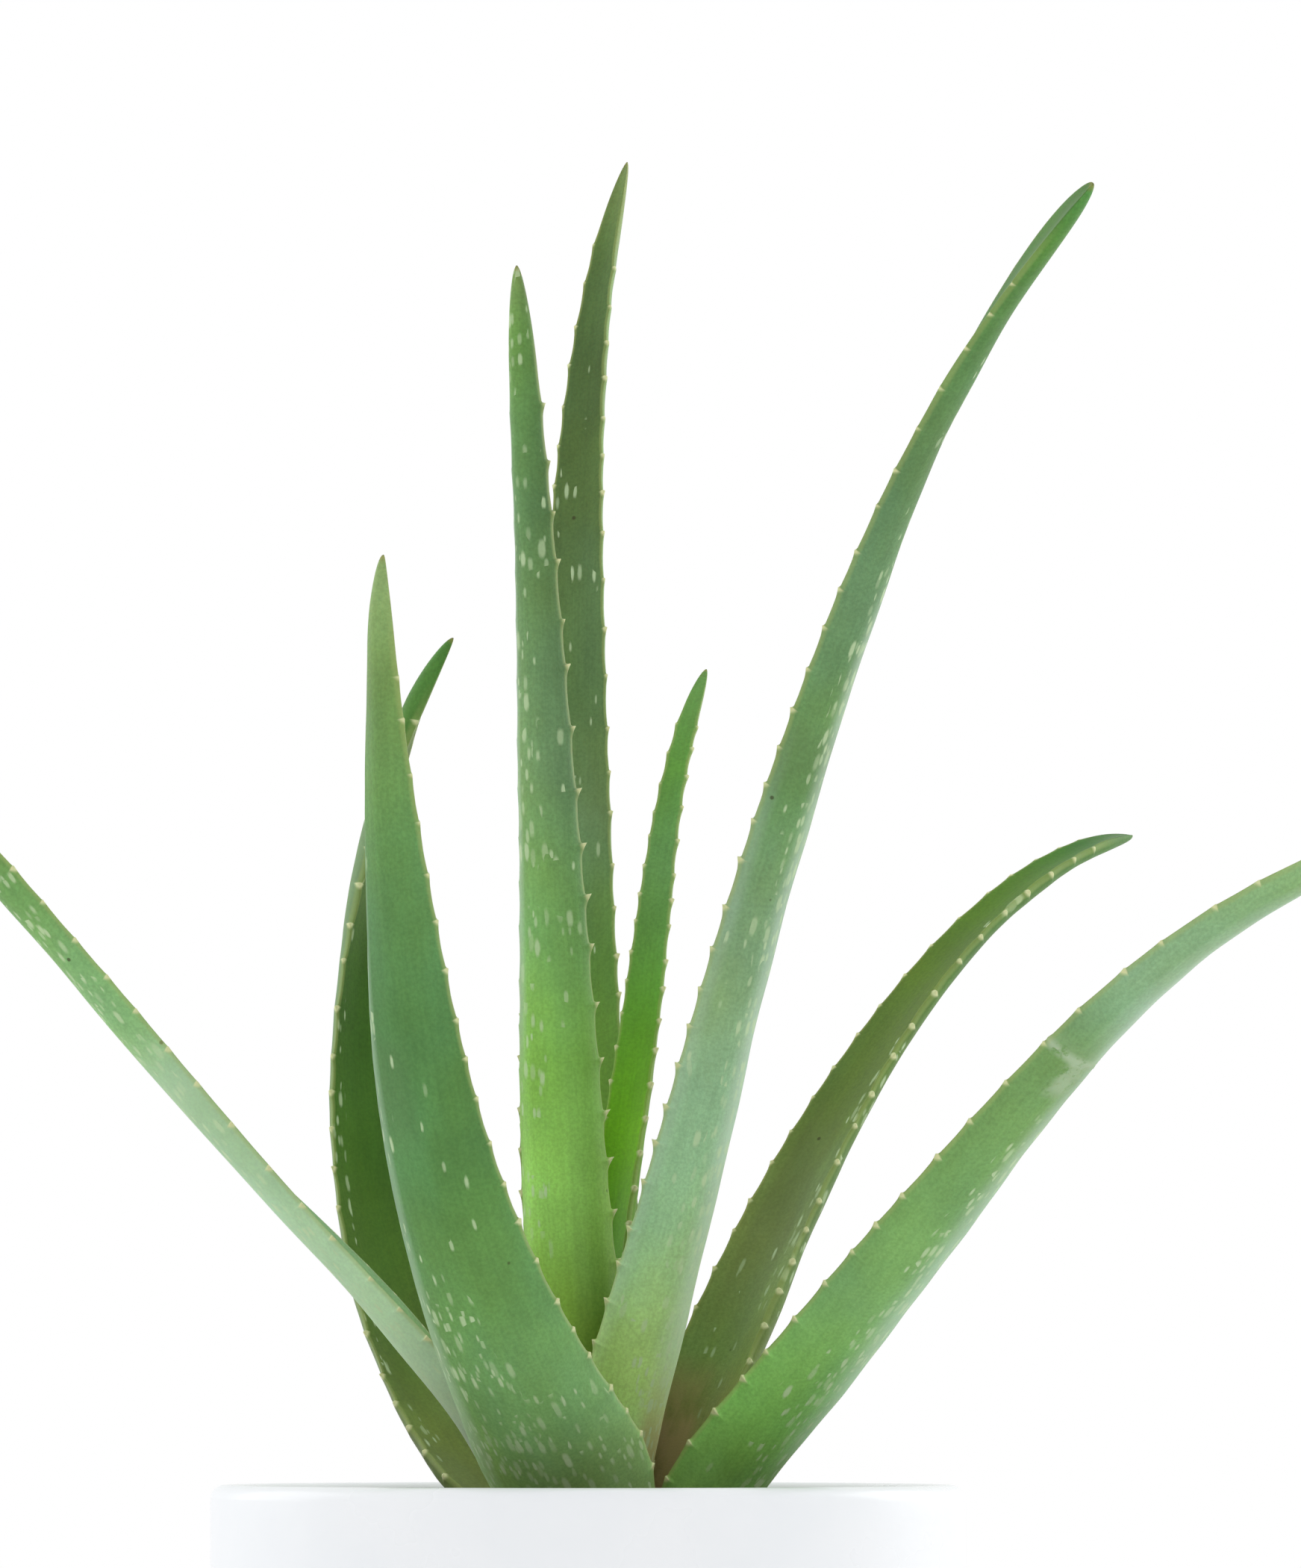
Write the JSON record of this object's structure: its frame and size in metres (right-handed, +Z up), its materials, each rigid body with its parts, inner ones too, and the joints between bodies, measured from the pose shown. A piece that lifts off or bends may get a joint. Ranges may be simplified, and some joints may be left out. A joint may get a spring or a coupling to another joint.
{
  "type": "potted aloe plant",
  "caption": "Rosette of long, fleshy, toothed aloe leaves fanning upward and outward from potting mix in a straight-sided white cylindrical pot.",
  "frame": {"origin": "middle of the pot's flat bottom", "axes": "+Z up along the pot's axis, -Y towards the front of the plant, +X to the viewer's right"},
  "size_m": [0.3042, 0.2345, 0.4465],
  "materials": {
    "white_glaze": "satin",
    "potting_mix": "matte",
    "stem_bark": "matte",
    "green_front_left": "satin",
    "green_back_left": "satin",
    "green_far_left": "satin",
    "green_centre_tall": "satin",
    "green_back_tall": "satin",
    "green_young": "satin",
    "green_tall_right": "satin",
    "green_mid_right": "satin",
    "green_far_right": "satin"
  },
  "bodies": {
    "root": {"pot": "white_glaze", "potting_soil": "potting_mix", "stem": "stem_bark", "leaf_front_left": "green_front_left", "leaf_back_left": "green_back_left", "leaf_far_left": "green_far_left", "leaf_centre_tall": "green_centre_tall", "leaf_back_tall": "green_back_tall", "leaf_young": "green_young", "leaf_tall_right": "green_tall_right", "leaf_mid_right": "green_mid_right", "leaf_far_right": "green_far_right"}
  },
  "joints": []
}
